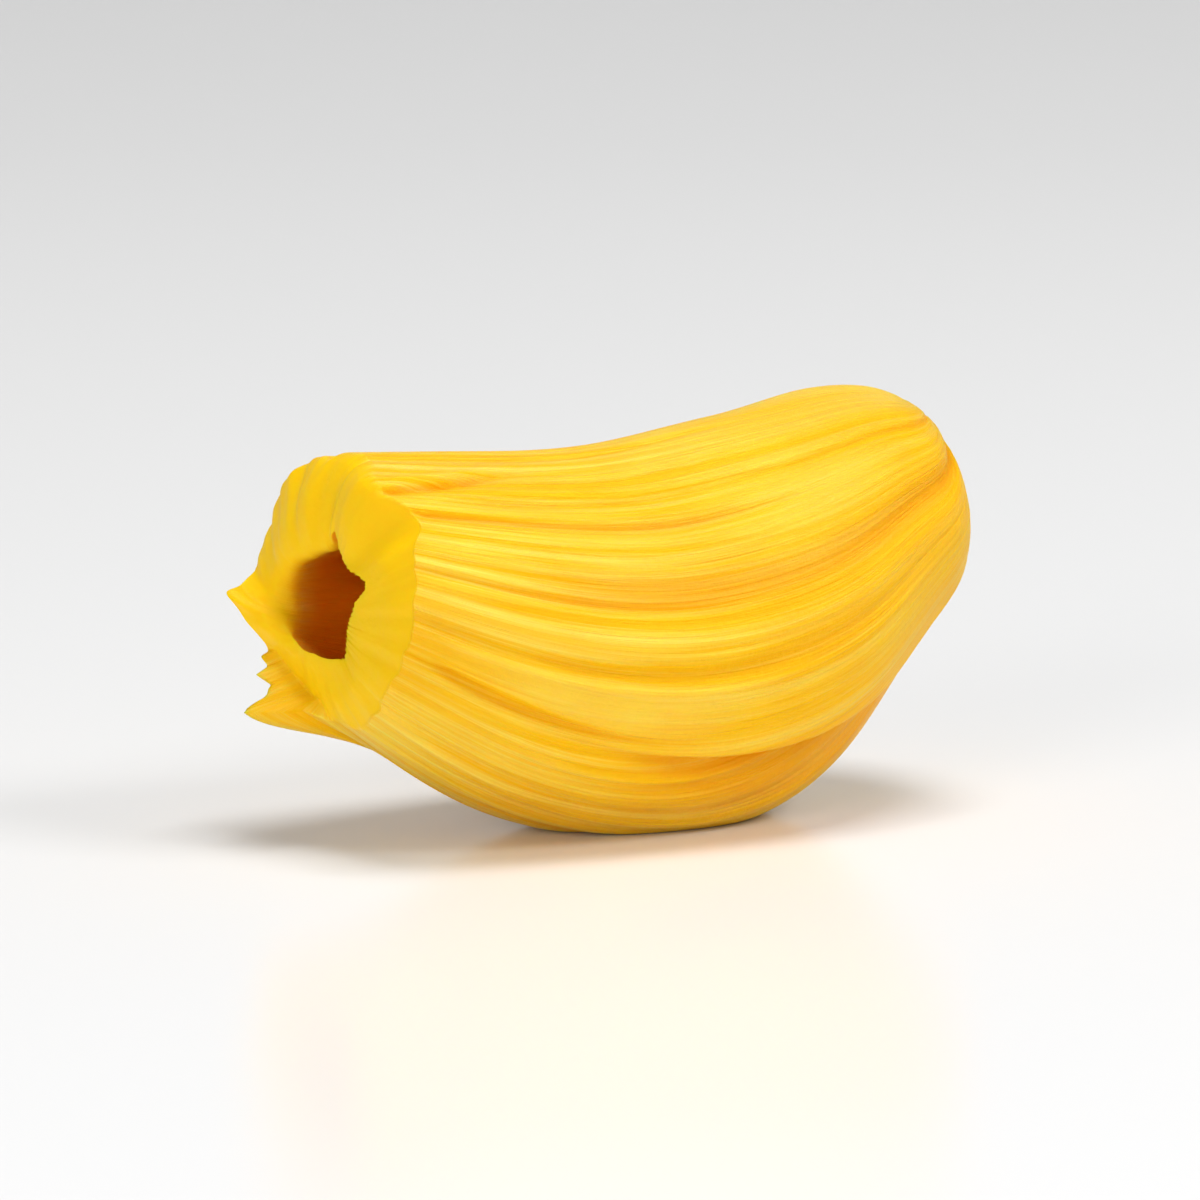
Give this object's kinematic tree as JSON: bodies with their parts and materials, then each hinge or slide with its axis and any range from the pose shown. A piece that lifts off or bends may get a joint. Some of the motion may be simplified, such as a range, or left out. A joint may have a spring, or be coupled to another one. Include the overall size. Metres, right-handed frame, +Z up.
{
  "type": "jackfruit bulb",
  "caption": "Peeled yellow jackfruit bulb lying on its belly, furrowed from end to end, with one end cut open onto the empty seed hollow.",
  "frame": {"origin": "on the surface that the bulb rests on, under the middle of its length and of its width", "axes": "+X runs from the cut end to the blunt tip, +Y across the bulb, +Z up from the surface that it rests on"},
  "size_m": [0.0672, 0.0324, 0.0372],
  "materials": {
    "flesh": "moist, faintly waxy ripe fruit flesh"
  },
  "bodies": {
    "root": {"jackfruit_bulb": "flesh"}
  },
  "joints": []
}
